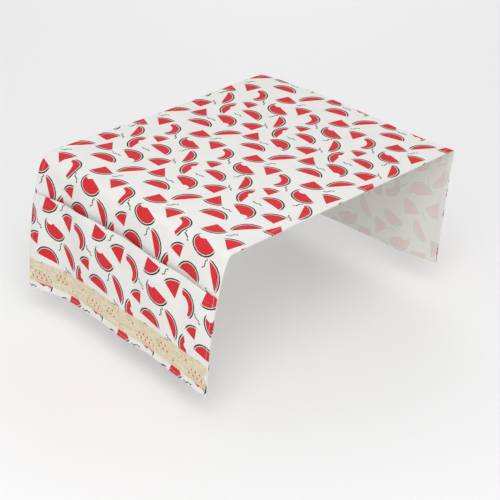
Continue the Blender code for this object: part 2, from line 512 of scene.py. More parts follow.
# %% [markdown]
# ## The printed motifs
#
# The ground is off-white, with slices of red fruit scattered over it: half slices, crescents,
# wedges and chips, some of them bitten, each with a dark rind line that thins towards its ends,
# set off by a pale gap. The motifs here are this lesson's own, and so is their layout. They keep
# the colours, the scale and the density of such a print, with short rows of seeds between the
# slices. One slice is a disc cut by two straight lines and one round bite. A node group gives its
# distance to the flesh's edge and to the rind's line, so edges stay sharp at any size.

# %% Node group for one slice, in millimetres
RIND_WIDTH = 2.20
RIND_GAP = 0.95
RIND_THIN_SHARE = 0.32
RIND_TAPER = 5.5

SLICE_INPUTS = [
    ("Place", "NodeSocketVector"),
    ("Turn", "NodeSocketFloat"),
    ("Round", "NodeSocketFloat"),
    ("First cut", "NodeSocketVector"),
    ("Second cut", "NodeSocketVector"),
    ("Cut from middle", "NodeSocketFloat"),
    ("Bite", "NodeSocketVector"),
    ("Bite round", "NodeSocketFloat"),
    ("Rind past cut", "NodeSocketFloat"),
]


def make_slice_group():
    """Distance inside the flesh and inside the rind line of one slice, below 0 outside."""
    group, wire, given = new_group("fruit_slice", SLICE_INPUTS, ["Flesh", "Rind"])
    turned = wire.turned(given["Place"], given["Turn"])
    radius = wire.vector("LENGTH", turned)
    first = wire.vector("DOT_PRODUCT", turned, given["First cut"])
    second = wire.vector("DOT_PRODUCT", turned, given["Second cut"])
    inside_cuts = wire.math("SUBTRACT", wire.math("MINIMUM", first, second), given["Cut from middle"])
    from_bite = wire.vector("LENGTH", wire.vector("SUBTRACT", turned, given["Bite"]))
    outside_bite = wire.math("SUBTRACT", from_bite, given["Bite round"])
    flesh_round = wire.math("SUBTRACT", given["Round"], RIND_WIDTH + RIND_GAP)
    flesh = wire.math("MINIMUM", wire.math("SUBTRACT", flesh_round, radius), inside_cuts)
    flesh = wire.math("MINIMUM", flesh, outside_bite)
    past_cut = wire.math("ADD", inside_cuts, given["Rind past cut"])
    thin = RIND_WIDTH / 2 * RIND_THIN_SHARE
    half_line = wire.ramp(past_cut, 0.0, RIND_TAPER, thin, RIND_WIDTH / 2)
    line_middle = wire.math("SUBTRACT", given["Round"], RIND_WIDTH / 2)
    off_line = wire.math("ABSOLUTE", wire.math("SUBTRACT", radius, line_middle))
    rind = wire.math("MINIMUM", wire.math("SUBTRACT", half_line, off_line), past_cut)
    wire.node("NodeGroupOutput", {"Flesh": flesh, "Rind": rind})
    return group


FRUIT_SLICE = make_slice_group()
print("slice group has", len(FRUIT_SLICE.nodes), "nodes")

# %% The kinds of slice, and where each lies in one repeat
Slice = namedtuple("Slice", "round half_angle cut bite bite_round middle past_cut")
NO_BITE = (0.0, -60.0)
SLICES = {
    # rind's radius, half angle between the cuts, cut from the middle, bite, its radius, the
    # motif's middle above the disc's, how far the rind runs past the cuts
    "half": Slice(20.2, 90, 2.0, NO_BITE, 1.0, 10.2, 0.4),
    "bitten": Slice(20.6, 90, -1.2, (13.2, -2.6), 6.6, 8.4, 0.3),
    "crescent": Slice(26.4, 90, 12.4, NO_BITE, 1.0, 17.6, -1.4),
    "nibbled": Slice(25.9, 90, 11.4, (5.4, 9.9), 4.6, 17.0, -1.4),
    "smile": Slice(20.9, 76, -1.5, (1.5, -7.0), 15.4, 11.8, -0.8),
    "wedge": Slice(26.4, 31, -0.6, NO_BITE, 1.0, 14.8, 1.2),
    "quarter": Slice(24.2, 45, -0.4, NO_BITE, 1.0, 13.2, 0.8),
    "chip": Slice(19.8, 37, -0.6, NO_BITE, 1.0, 11.0, 1.0),
}
REPEAT_RIGHT = 104.0
REPEAT_UP = 182.0
SLICE_LAYOUT = (
    # kind, right, up, turn in degrees
    ("half", 20, 15, 14),
    ("crescent", 70, 17, 58),
    ("wedge", 100, 38, 196),
    ("bitten", 40, 49, -24),
    ("quarter", 76, 62, 40),
    ("nibbled", 10, 78, 104),
    ("half", 50, 93, -10),
    ("crescent", 92, 103, -62),
    ("chip", 24, 112, 30),
    ("bitten", 60, 131, 158),
    ("smile", 15, 148, -62),
    ("wedge", 88, 157, 20),
    ("quarter", 48, 167, -150),
)
SEED_LAYOUT = (
    # right, up, turn in degrees
    (22, 33, 12),
    (88, 78, -30),
    (36, 74, 8),
    (72, 112, 78),
    (32, 134, -40),
    (73, 172, 64),
)
print(len(SLICE_LAYOUT), "slices and", len(SEED_LAYOUT), "rows of seeds in each repeat of",
      REPEAT_RIGHT, "by", REPEAT_UP, "mm")

# %% Node group for a row of seeds, in millimetres
SEED_PITCH = 3.1
SEEDS_EACH_SIDE = 2
SEED_ROUND = 1.0
SEED_NARROWING = 0.60
SEED_SWAY = 0.9
SEED_SWAY_TURN = 2.3
SEED_TILT = 0.4


def make_seed_group():
    """Distance inside a short swaying row of seeds, below 0 outside."""
    inputs = [("Place", "NodeSocketVector"), ("Turn", "NodeSocketFloat")]
    group, wire, given = new_group("seed_row", inputs, ["Seed"])
    turned = wire.turned(given["Place"], given["Turn"])
    split = wire.split(turned)
    nearest = wire.math("ROUND", wire.math("DIVIDE", split["X"], SEED_PITCH))
    nearest = wire.math("MAXIMUM", wire.math("MINIMUM", nearest, SEEDS_EACH_SIDE), -SEEDS_EACH_SIDE)
    along = wire.math("MULTIPLY_ADD", nearest, -SEED_PITCH, split["X"])
    sway = wire.math("SINE", wire.math("MULTIPLY", nearest, SEED_SWAY_TURN))
    up = wire.math("MULTIPLY_ADD", sway, -SEED_SWAY, split["Y"])
    tilted = wire.math("MULTIPLY_ADD", wire.math("MULTIPLY", sway, along), SEED_TILT, up)
    narrowed = wire.math("MULTIPLY", along, SEED_NARROWING)
    squares = wire.math("ADD", wire.math("POWER", narrowed, 2.0), wire.math("POWER", tilted, 2.0))
    seed = wire.math("SUBTRACT", SEED_ROUND, wire.math("SQRT", squares))
    wire.node("NodeGroupOutput", {"Seed": seed})
    return group


SEED_ROW = make_seed_group()
print("seed group has", len(SEED_ROW.nodes), "nodes")

# %% [markdown]
# ## Laying the repeat
#
# A printing screen repeats every one or two hand widths. Wrapping the cloth's flat coordinates
# around each motif's own place does the same: a motif near the repeat's edge carries on across it,
# and no seam shows. A little noise is added to the coordinates first, which gives each line the
# wobble of a brush.

# %% The whole print as one node group
MILLIMETRES = 1000.0
BRUSH_WOBBLE = 0.9
BRUSH_WOBBLE_SCALE = 0.30


def wrapped_place(wire, place, middle_right, middle_up):
    """Coordinates around one motif's middle, wrapped by the repeat."""
    off = wire.vector("SUBTRACT", place, (middle_right, middle_up, 0.0))
    half = (REPEAT_RIGHT / 2, REPEAT_UP / 2, 1.0)
    return wire.vector("WRAP", off, half, tuple(-side for side in half))


def lay_slice(wire, place, kind, right, up, turn_degrees):
    """Add one slice, and return its flesh and rind distances."""
    shape = SLICES[kind]
    turn = math.radians(turn_degrees)
    middle_right = right + math.sin(turn) * shape.middle
    middle_up = up - math.cos(turn) * shape.middle
    half_angle = math.radians(shape.half_angle)
    across_cut = round(math.cos(half_angle), 6)
    node = wire.node("ShaderNodeGroup", node_tree=FRUIT_SLICE)
    for name, value in (
        ("Place", wrapped_place(wire, place, middle_right, middle_up)),
        ("Turn", -turn),
        ("Round", shape.round),
        ("First cut", (across_cut, math.sin(half_angle), 0.0)),
        ("Second cut", (-across_cut, math.sin(half_angle), 0.0)),
        ("Cut from middle", shape.cut),
        ("Bite", (*shape.bite, 0.0)),
        ("Bite round", shape.bite_round),
        ("Rind past cut", shape.past_cut),
    ):
        wire.plug(node.inputs[name], value)
    return node.outputs["Flesh"], node.outputs["Rind"]


def make_print_group():
    """Distances inside the flesh and inside the dark lines, anywhere on the cloth."""
    group, wire, given = new_group("fruit_print", [("Flat", "NodeSocketVector")], ["Flesh", "Dark"])
    split = wire.split(given["Flat"])
    right = wire.math("MULTIPLY", split["Y"], -MILLIMETRES)
    up = wire.math("MULTIPLY", split["X"], MILLIMETRES)
    place = wire.node("ShaderNodeCombineXYZ", {"X": right, "Y": up}).outputs["Vector"]
    wobble = wire.noise(place, BRUSH_WOBBLE_SCALE, 2.0, "Color")
    wobble = wire.vector("SUBTRACT", wobble, (0.5, 0.5, 0.5))
    wobble = wire.vector("MULTIPLY", wobble, (BRUSH_WOBBLE, BRUSH_WOBBLE, 0.0))
    place = wire.vector("ADD", place, wobble)
    flesh, dark = lay_slice(wire, place, *SLICE_LAYOUT[0])
    for row in SLICE_LAYOUT[1:]:
        more_flesh, more_rind = lay_slice(wire, place, *row)
        flesh = wire.math("MAXIMUM", flesh, more_flesh)
        dark = wire.math("MAXIMUM", dark, more_rind)
    for right_place, up_place, turn_degrees in SEED_LAYOUT:
        node = wire.node("ShaderNodeGroup", node_tree=SEED_ROW)
        wire.plug(node.inputs["Place"], wrapped_place(wire, place, right_place, up_place))
        wire.plug(node.inputs["Turn"], -math.radians(turn_degrees))
        dark = wire.math("MAXIMUM", dark, node.outputs["Seed"])
    wire.node("NodeGroupOutput", {"Flesh": flesh, "Dark": dark})
    return group


FRUIT_PRINT = make_print_group()
print("print group has", len(FRUIT_PRINT.nodes), "nodes")

# %% [markdown]
# ## Finishes of the cloth
#
# Ink on cloth isn't flat red: it is laid in strokes, thinner where a thread stands up, with a
# darker rim where it dried. The face finish mixes two reds by stretched noise, darkens the rim of
# each slice and lets the weave show through, with painted shade between the threads. The back of
# the cloth is the same weave with the print showing faintly through it. Roughness stays high, and a
# little sheen stands for the fuzz.

# %% Printed face and unprinted back
GROUND = screen_colour(238, 237, 233)
# A darker ground: the cloth's broad random tone, and the painted shade between its threads.
GROUND_TONE_AND_SHADE = screen_colour(226, 225, 222)
GROUND_FLECK = screen_colour(214, 208, 196)
INK_RED = screen_colour(223, 20, 38)
INK_DEEP = screen_colour(196, 14, 32)
INK_THIN = screen_colour(238, 92, 98)
INK_RIM = screen_colour(140, 14, 28)
RIND_DARK = screen_colour(20, 34, 28)
RIND_THIN = screen_colour(62, 82, 68)
BACK_GROUND = screen_colour(228, 226, 220)
SHOW_THROUGH = 0.17
INK_EDGE = 0.14
RIM_INNER = 0.65
CLOTH_ROUGHNESS = 0.88
CLOTH_SPECULAR = 0.20
CLOTH_SHEEN = 0.06
SHEEN_ROUGHNESS = 0.45
WEAVE_DEPTH = 0.00016
WEAVE_STRENGTH = 0.55
BROAD_SCALE = 26.0
STROKE_FINE_SCALE = 900.0
STROKE_LONG_SCALE = 260.0
BLOTCH_SCALE = 130.0
FLECK_LONG_SCALE = 90.0
FLECK_FINE_SCALE = 1500.0


def cloth_flat(wire):
    """The cloth's own flat coordinates, in metres."""
    return wire.node("ShaderNodeUVMap", uv_map="flat_metres").outputs["UV"]


def soften(wire, shader, height, depth, strength):
    """Give cotton its low shine, its fuzz and the relief of its threads."""
    shader.inputs["Specular IOR Level"].default_value = CLOTH_SPECULAR
    shader.inputs["Sheen Weight"].default_value = CLOTH_SHEEN
    shader.inputs["Sheen Roughness"].default_value = SHEEN_ROUGHNESS
    bump = wire.node("ShaderNodeBump", {"Height": height, "Distance": depth, "Strength": strength})
    wire.plug(shader.inputs["Normal"], bump.outputs["Normal"])


def inked_colour(wire, flat, height, ground):
    """Print the slices over a ground colour."""
    printed = wire.node("ShaderNodeGroup", node_tree=FRUIT_PRINT)
    wire.plug(printed.inputs["Flat"], flat)
    flesh_depth = printed.outputs["Flesh"]
    flesh = wire.ramp(flesh_depth, -INK_EDGE, INK_EDGE)
    dark = wire.ramp(printed.outputs["Dark"], -INK_EDGE, INK_EDGE)
    strokes = wire.noise(wire.scaled(flat, STROKE_FINE_SCALE, STROKE_LONG_SCALE), 1.0, 3.0)
    blotches = wire.noise(wire.scaled(flat, BLOTCH_SCALE, BLOTCH_SCALE), 1.0, 2.0)
    red = wire.mix(wire.ramp(strokes, 0.40, 0.66), INK_RED, INK_DEEP)
    red = wire.mix(wire.math("MULTIPLY", wire.ramp(blotches, 0.52, 0.72), 0.45), red, INK_DEEP)
    red = wire.mix(wire.math("MULTIPLY", wire.ramp(strokes, 0.36, 0.26), 0.55), red, INK_THIN)
    red = wire.mix(wire.math("MULTIPLY", wire.ramp(flesh_depth, RIM_INNER, 0.1), 0.55), red, INK_RIM)
    line = wire.mix(wire.ramp(blotches, 0.40, 0.70), RIND_DARK, RIND_THIN)
    colour = wire.mix(dark, ground, line)
    cover = wire.math("MULTIPLY", flesh, wire.ramp(height, 0.0, 0.35, 0.93, 1.0))
    return wire.mix(cover, colour, red)


def woven_ground(wire, flat, light, darker_colour, fleck):
    """Off-white cloth, darker between its threads as painted shade, with a few straw-coloured flecks."""
    weave = wire.node("ShaderNodeGroup", node_tree=WEAVE)
    wire.plug(weave.inputs["Flat"], flat)
    height = weave.outputs["Height"]
    broad = wire.noise(wire.scaled(flat, BROAD_SCALE, BROAD_SCALE), 1.0, 3.0)
    colour = wire.mix(wire.math("MULTIPLY", wire.ramp(broad, 0.35, 0.68), 0.35), light, darker_colour)
    # Painted shade: the colour darkens where the weave's height is low, between the threads.
    colour = wire.mix(wire.ramp(height, 0.45, 0.0, 0.0, 0.55), colour, darker_colour)
    runs = []
    for scales in ((FLECK_FINE_SCALE, FLECK_LONG_SCALE), (FLECK_LONG_SCALE, FLECK_FINE_SCALE)):
        runs.append(wire.noise(wire.scaled(flat, *scales), 1.0, 1.0))
    flecks = wire.ramp(wire.math("MAXIMUM", *runs), 0.70, 0.80, 0.0, 0.5)
    return wire.mix(flecks, colour, fleck), height


def finish_cloth(name, printed):
    """Make the printed face, or the back with the print showing through."""
    material, wire, shader = new_finish(name, CLOTH_ROUGHNESS)
    flat = cloth_flat(wire)
    ground = GROUND if printed else BACK_GROUND
    woven, height = woven_ground(wire, flat, ground, GROUND_TONE_AND_SHADE, GROUND_FLECK)
    inked = inked_colour(wire, flat, height, woven)
    if not printed:
        inked = wire.mix(SHOW_THROUGH, woven, inked)
    wire.plug(shader.inputs["Base Color"], inked)
    wire.plug(shader.inputs["Roughness"], wire.ramp(height, 0.0, 1.0, 0.96, 0.82))
    soften(wire, shader, height, WEAVE_DEPTH, WEAVE_STRENGTH)
    return material


CLOTH_FACE = finish_cloth("printed_cloth_face", True)
CLOTH_BACK = finish_cloth("printed_cloth_back", False)
print("finishes:", CLOTH_FACE.name, "and", CLOTH_BACK.name)

# %% [markdown]
# ## A sheet from a grid
#
# Each cloth starts as a flat grid whose rows and columns crowd together at the hems, where the
# surface changes fastest. Every point is then carried to its place in the drape, and keeps its
# flat place as texture coordinates in metres. Solidify gives the sheet its thickness on the inner
# side. A vertex group makes the hems twice as thick, as cloth turned under is.

# %% Rows, columns and thickness of a sheet
FINE_STEPS = (0.0, 0.0010, 0.0026, 0.0043, 0.0055, 0.0064, 0.0073, 0.0084, 0.0100, 0.0124)
COLUMN_STEP = 0.0029


def crowded_ends(length, step):
    """Distances across a sheet: close together at both hems, a wide step between."""
    first = list(FINE_STEPS)
    last = [length - place for place in reversed(FINE_STEPS)]
    inner = round((last[0] - first[-1]) / step)
    between = [first[-1] + (last[0] - first[-1]) * count / inner for count in range(1, inner)]
    return first + between + last


def make_sheet(name, rows, columns, place, lay_flat, thicken):
    """Shape a grid of faces, lay its print, and give it its thickness."""
    grid = bmesh.new()
    bmesh.ops.create_grid(grid, x_segments=rows, y_segments=columns, size=0.5)
    flat_layer = grid.loops.layers.uv.new("flat_metres")
    hem_layer = grid.verts.layers.deform.verify()
    flat = {}
    for vertex in grid.verts:
        row = round((vertex.co.x + 0.5) * rows)
        column = round((vertex.co.y + 0.5) * columns)
        flat[vertex] = lay_flat(row, column)
        vertex[hem_layer][0] = thicken(row, column)
        vertex.co = place(row, column)
    for face in grid.faces:
        face.smooth = True
        for loop in face.loops:
            loop[flat_layer].uv = flat[loop.vert]
    mesh = mesh_from(grid, name)
    mesh.materials.append(CLOTH_FACE)
    mesh.materials.append(CLOTH_BACK)
    sheet = add_object(name, mesh)
    sheet.vertex_groups.new(name="hems")
    shell = sheet.modifiers.new("thickness", "SOLIDIFY")
    shell.thickness = HEM_THICKNESS
    shell.offset = -1.0
    shell.vertex_group = "hems"
    shell.thickness_vertex_group = CLOTH_THICKNESS / HEM_THICKNESS
    shell.material_offset = 1
    return sheet


COLUMNS_ACROSS = crowded_ends(CLOTH_WIDTH, COLUMN_STEP)
print(len(COLUMNS_ACROSS), "columns across the strip")

# %% [markdown]
# ## The cover strip
#
# One strip makes the top and both drops. A maker cuts it, turns all four edges under twice and
# stitches them. Its rows are spread so that the tight turn at each edge gets enough of them.

# %% Cover strip
TOP_ROWS = 64
TURN_ROWS = 11
DROP_ROWS = 66


def half_strip_places(across, side):
    """Flat distances of the rows from the strip's middle out to one hem."""
    edge = edge_shape(across, side)
    hem = drop_distance(DROP, across, side)
    fine = [hem - place for place in reversed(FINE_STEPS)]
    places = []
    for start, end, rows in (
        (0.0, edge.start, TOP_ROWS),
        (edge.start, edge.end, TURN_ROWS),
        (edge.end, fine[0], DROP_ROWS),
    ):
        places += [start + (end - start) * row / rows for row in range(rows)]
    return places + fine


HALF_ROWS = TOP_ROWS + TURN_ROWS + DROP_ROWS + len(FINE_STEPS) - 1
strip_places = [
    {side: half_strip_places(across, side) for side in (LEFT, RIGHT)} for across in COLUMNS_ACROSS
]


def strip_flat(row, column):
    """Flat coordinates of one corner of the strip's grid."""
    side = LEFT if row < HALF_ROWS else RIGHT
    return (side * strip_places[column][side][abs(row - HALF_ROWS)], COLUMNS_ACROSS[column])


def strip_place(row, column):
    """Place one corner of the strip's printed face."""
    return strip_surface(*strip_flat(row, column), lift=CLOTH_THICKNESS / 2)


def strip_hem(row, column):
    """Say how far one corner lies on a hem."""
    return hem_share(edge_distance(*strip_flat(row, column)))


cover_strip = make_sheet("cover_strip", 2 * HALF_ROWS, len(COLUMNS_ACROSS) - 1,
                         strip_place, strip_flat, strip_hem)
print("cover strip:", len(cover_strip.data.polygons), "faces before its thickness")

# %% [markdown]
# ## The pockets
#
# A pocket panel is cut from the same cloth, hemmed at its mouth, and sewn to the drop at its
# sides and its foot, print upright. Between the seams it stands a little off the drop, most at the
# mouth. It could be simulated with pinned edges. The slack is written as a formula instead, of the
# same form as in the solids but tighter, so that the pocket stays open and its mouth keeps its line.

# %% Pocket panels
MOUTH_BELOW_TOP = 0.0500
MOUTH_LOWER_AT_SIDES = 0.0065
POCKET_GAPE = 0.0062
GAPE_SQUARENESS = 0.8
GAPE_UNEVENNESS = 0.10
GAPE_PHASE = 0.6
GAPE_CLOSES_FROM = 0.28
GAPE_CLOSED_AT = 0.90
MOUTH_HEM = 0.0125
MOUTH_SEAM = 0.0112
SIDE_HEM = 0.0058
SIDE_SEAM = 0.0043
POCKET_ROW_STEP = 0.0026
POCKET_PRINT_SHIFT = {LEFT: (0.0305, 0.0475), RIGHT: (0.0720, 0.4100)}


def mouth_below_top(across):
    """Say how far below the top the pocket's mouth lies: a shallow arch, lower at the sides."""
    arch = math.sin(math.pi * across / CLOTH_WIDTH)
    return MOUTH_BELOW_TOP + MOUTH_LOWER_AT_SIDES * (1 - arch)


def pocket_slack(below_top, across):
    """Say how far the pocket stands off the drop: sewn at its sides and its foot, slack above."""
    mouth = mouth_below_top(across)
    share_down = (below_top - mouth) / (DROP - mouth)
    bulge = max(math.sin(math.pi * across / CLOTH_WIDTH), 0.0) ** GAPE_SQUARENESS
    lobes = 1 + GAPE_UNEVENNESS * math.sin(3 * math.pi * across / CLOTH_WIDTH + GAPE_PHASE)
    closing = ease((share_down - GAPE_CLOSES_FROM) / (GAPE_CLOSED_AT - GAPE_CLOSES_FROM))
    return POCKET_GAPE * bulge * lobes * (1 - closing)


def pocket_hem_share(below_top, across):
    """1 on the pocket's hems and 0 past them."""
    from_mouth = below_top - mouth_below_top(across)
    from_side = min(across, CLOTH_WIDTH - across, DROP - below_top)
    at_mouth = 1 - ease((from_mouth - MOUTH_HEM) / HEM_EASE)
    at_side = 1 - ease((from_side - SIDE_HEM) / HEM_EASE)
    return max(at_mouth, at_side)


def pocket_surface(side, below_top, across, lift=0.0):
    """Place a point on a pocket's cloth, lifted off its middle."""
    along = side * drop_distance(below_top, across, side)
    height = crease_height(along, across) + swell_height(along, across)
    height += SOLID_POCKET_LIFT + pocket_slack(below_top, across)
    height += (HEM_THICKNESS - CLOTH_THICKNESS) / 2 * pocket_hem_share(below_top, across)
    height += seam_trough(below_top - mouth_below_top(across) - MOUTH_SEAM)
    height += seam_trough(min(across, CLOTH_WIDTH - across, DROP - below_top) - SIDE_SEAM)
    return cloth_point(along, across) + outward(along, across) * (height + lift)


def add_pocket(side):
    """Shape one pocket panel."""
    middle_length = DROP - MOUTH_BELOW_TOP
    shares = [place / middle_length for place in crowded_ends(middle_length, POCKET_ROW_STEP)]
    rows = len(shares) - 1
    shift_up, shift_across = POCKET_PRINT_SHIFT[side]

    def below_and_across(row, column):
        share = shares[row] if side == RIGHT else shares[rows - row]
        across = COLUMNS_ACROSS[column]
        mouth = mouth_below_top(across)
        return mouth + (DROP - mouth) * share, across

    def place(row, column):
        return pocket_surface(side, *below_and_across(row, column), lift=CLOTH_THICKNESS / 2)

    def lay_flat(row, column):
        below_top, across = below_and_across(row, column)
        return (shift_up + DROP - below_top, shift_across - side * across)

    def thicken(row, column):
        return pocket_hem_share(*below_and_across(row, column))

    name = SIDE_NAMES[side] + "_pocket_panel"
    return make_sheet(name, rows, len(COLUMNS_ACROSS) - 1, place, lay_flat, thicken)


pockets = {side: add_pocket(side) for side in (LEFT, RIGHT)}
for pocket in pockets.values():
    print(pocket.name, len(pocket.data.polygons), "faces before its thickness")

# %% [markdown]
# ## Crocheted lace
#
# The lace is a cream cotton ribbon sewn across the pocket a little above its hem, open enough for
# the print to show through its small holes. Its stitches are columns of wrapped thread: rows of
# fans between straight cords, ladders beside them and small picot loops along both edges. A sheet
# with holes painted on it would look flat from near by, so each thread is a thin tube that follows
# the pocket's surface.

# %% One thread laid on the pocket
LACE_ABOVE_HEM = 0.011
LACE_REPEATS = 44
LACE_REPEAT = CLOTH_WIDTH / LACE_REPEATS
THREAD_SIDES = 6
THREAD_STEP = 0.00095
LACE_CLEARANCE = 0.0001
HAND_UNEVENNESS = 0.00016
BAND_WAVER = 0.0005
BAND_WAVER_LENGTH = 0.034
BAND_WAVER_TURNS = 30.0
BAND_WAVER_LAYER = 5.0
LOOSE_LENGTH = 0.0013
LOOSE_LAYER = 21.0
LOOSE_APART = Vector((40.0, 0.0, 0.0))
LACE_END_MARGIN = 0.0006


def lace_place(side, across, up, lift):
    """Place a point of the lace band, up from its lower edge, lifted off the pocket."""
    waver_place = (across / BAND_WAVER_LENGTH, up * BAND_WAVER_TURNS, BAND_WAVER_LAYER + side)
    waver = BAND_WAVER * noise.noise(Vector(waver_place))
    loose = Vector((across / LOOSE_LENGTH, up / LOOSE_LENGTH, LOOSE_LAYER + side))
    across += HAND_UNEVENNESS * noise.noise(loose)
    up += HAND_UNEVENNESS * noise.noise(loose + LOOSE_APART) + waver
    across = min(max(across, LACE_END_MARGIN), CLOTH_WIDTH - LACE_END_MARGIN)
    below_top = DROP - LACE_ABOVE_HEM - up
    return pocket_surface(side, below_top, across, CLOTH_THICKNESS / 2 + LACE_CLEARANCE + lift)


def even_steps(route):
    """Walk along a route of flat points in even short steps."""
    steps = [Vector(route[0])]
    for start, end in zip(route, route[1:]):
        run = Vector(end) - Vector(start)
        count = max(round(run.length / THREAD_STEP), 1)
        steps += [Vector(start) + run * step / count for step in range(1, count + 1)]
    return steps


def lay_thread(mesh, flat_layer, side, route, half_width, half_height, lift=0.0):
    """Sweep a flattened round section along a route of (across, up) points."""
    steps = even_steps(route)
    points = [lace_place(side, step.x, step.y, lift + half_height) for step in steps]
    middle = steps[len(steps) // 2]
    below_top = DROP - LACE_ABOVE_HEM - middle.y
    out = outward(side * drop_distance(below_top, middle.x, side), middle.x)
    rings = []
    travelled = [0.0]
    for place, point in enumerate(points):
        before = points[max(place - 1, 0)]
        after = points[min(place + 1, len(points) - 1)]
        sideways = (after - before).cross(out).normalized()
        if place:
            travelled.append(travelled[-1] + (point - before).length)
        ring = []
        for corner in range(THREAD_SIDES):
            turn = 2 * math.pi * (corner + 0.5) / THREAD_SIDES
            offset = sideways * (half_width * math.cos(turn)) + out * (half_height * math.sin(turn))
            ring.append(mesh.verts.new(point + offset))
        rings.append(ring)
    for place in range(len(rings) - 1):
        for corner in range(THREAD_SIDES):
            following = (corner + 1) % THREAD_SIDES
            face = mesh.faces.new((rings[place][corner], rings[place][following],
                                   rings[place + 1][following], rings[place + 1][corner]))
            face.smooth = True
            lengths = (travelled[place], travelled[place], travelled[place + 1], travelled[place + 1])
            arounds = (corner, corner + 1, corner + 1, corner)
            for loop, length, around in zip(face.loops, lengths, arounds):
                loop[flat_layer].uv = (length, around * half_width)
    mesh.faces.new(list(reversed(rings[0])))
    mesh.faces.new(rings[-1])


print("lace:", LACE_REPEATS, "repeats of", round(LACE_REPEAT * 1000, 2), "mm")

# %% The stitches of one repeat
CORD_HALF_WIDTH = 0.00072
CORD_HALF_HEIGHT = 0.00052
POST_HALF_WIDTH = 0.00060
POST_HALF_HEIGHT = 0.00042
PICOT_HALF_WIDTH = 0.00046
CORD_UPS = (0.0026, 0.0064, 0.0276, 0.0314)
PICOTS = 2
PICOT_HEIGHT = 0.0022
PICOT_SPREAD = 0.47
FAN_ROWS = 3
FAN_POSTS = 5
FAN_SPREAD = 0.47
FAN_ROOT_SPREAD = 0.17
FAN_ARCH = 0.0013
ARC_STEPS = 8


def fan_routes(first_across, first_up, height):
    """Posts that spread from one root, and the arched chain that joins their tips."""
    middle = first_across + LACE_REPEAT / 2
    posts = []
    tips = []
    for post in range(FAN_POSTS):
        share = 2 * post / (FAN_POSTS - 1) - 1
        tip_across = middle + share * LACE_REPEAT * FAN_SPREAD
        tip_up = first_up + height - FAN_ARCH * share * share
        root_across = middle + share * LACE_REPEAT * FAN_ROOT_SPREAD
        posts.append([(root_across, first_up), (tip_across, tip_up)])
        tips.append((tip_across, tip_up))
    return posts, tips


def picot_route(first_across, pitch, edge_up, height):
    """A small loop that stands out from an edge cord."""
    route = []
    for step in range(ARC_STEPS + 1):
        turn = math.pi * step / ARC_STEPS
        across = first_across + pitch * (0.5 - PICOT_SPREAD * math.cos(turn))
        route.append((across, edge_up + height * math.sin(turn)))
    return route


def crochet_band(side):
    """Crochet one lace band from cords, ladders, fans and picots."""
    mesh = bmesh.new()
    flat_layer = mesh.loops.layers.uv.new("flat_metres")
    for up in CORD_UPS:
        route = [(0.0, up), (CLOTH_WIDTH, up)]
        lay_thread(mesh, flat_layer, side, route, CORD_HALF_WIDTH, CORD_HALF_HEIGHT)
    pitch = LACE_REPEAT / PICOTS
    for picot in range(LACE_REPEATS * PICOTS):
        first = picot * pitch
        for edge_up, height in ((CORD_UPS[0], -PICOT_HEIGHT), (CORD_UPS[3], PICOT_HEIGHT)):
            route = picot_route(first, pitch, edge_up, height)
            lay_thread(mesh, flat_layer, side, route, PICOT_HALF_WIDTH, POST_HALF_HEIGHT)
        for low, high in (CORD_UPS[:2], CORD_UPS[2:]):
            for route in ([(first, low), (first + pitch / 2, high)],
                          [(first + pitch / 2, high), (first + pitch, low)]):
                lay_thread(mesh, flat_layer, side, route, POST_HALF_WIDTH, POST_HALF_HEIGHT)
    fan_height = (CORD_UPS[2] - CORD_UPS[1]) / FAN_ROWS
    for row in range(FAN_ROWS):
        offset = LACE_REPEAT / 2 if row % 2 else 0.0
        first_up = CORD_UPS[1] + row * fan_height
        for repeat in range(LACE_REPEATS - row % 2):
            posts, tips = fan_routes(offset + repeat * LACE_REPEAT, first_up, fan_height)
            for post in posts:
                lay_thread(mesh, flat_layer, side, post, POST_HALF_WIDTH, POST_HALF_HEIGHT)
            lay_thread(mesh, flat_layer, side, tips, POST_HALF_WIDTH, POST_HALF_HEIGHT,
                       lift=POST_HALF_HEIGHT / 2)
    return mesh_from(mesh, SIDE_NAMES[side] + "_lace_band")


print("rows of fans:", FAN_ROWS, "with", FAN_POSTS, "posts in each fan")

# %% [markdown]
# ## Lace cotton and sewing thread
#
# Cream cotton shows its twist as fine slanting lines, and its colour wanders a little between
# straw and white. The twist is a wave that runs along and around each thread, read from texture
# coordinates that hold the length travelled. It bumps the surface, and its grooves are darkened
# with painted shade. The sewing thread is the same idea in off-white.

# %% Finishes of the threads
LACE_CREAM = screen_colour(244, 234, 210)
LACE_STRAW = screen_colour(232, 216, 182)
# Painted shade in the grooves of the lace cotton's twist.
LACE_TWIST_SHADE = screen_colour(206, 184, 146)
SEWING_WHITE = screen_colour(236, 234, 228)
# Painted shade in the grooves of the sewing thread's twist.
SEWING_SHADE = screen_colour(206, 202, 194)
TWIST_PITCH = 0.0011
TWIST_DEPTH = 0.00010
TWIST_STRENGTH = 0.6
DYE_PATCH_SCALE = 140.0
FIBRE_SCALE = 1900.0


